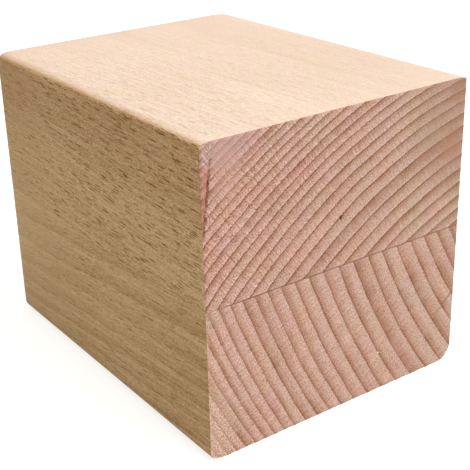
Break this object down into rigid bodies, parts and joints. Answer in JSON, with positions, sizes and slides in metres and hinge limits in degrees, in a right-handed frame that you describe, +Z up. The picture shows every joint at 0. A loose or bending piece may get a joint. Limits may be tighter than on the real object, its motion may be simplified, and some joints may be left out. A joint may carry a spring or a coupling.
{
  "type": "wooden furniture foot",
  "caption": "Square beech furniture foot glued up from two boards, with rounded long edges and sawn end-grain faces.",
  "frame": {"origin": "centre of the long face that the foot lies on, as in the picture", "axes": "+X along the grain, out of the sawn end that the picture shows; +Z up, across the level glue joint; +Y completes the frame. Fitted under furniture, the foot's own vertical is X."},
  "size_m": [0.1, 0.08, 0.08],
  "materials": {
    "upper_beech": "bare planed beech, sawn end grain",
    "lower_beech": "bare planed beech, sawn end grain"
  },
  "bodies": {
    "root": {"upper_lamella": "upper_beech", "lower_lamella": "lower_beech"}
  },
  "joints": []
}
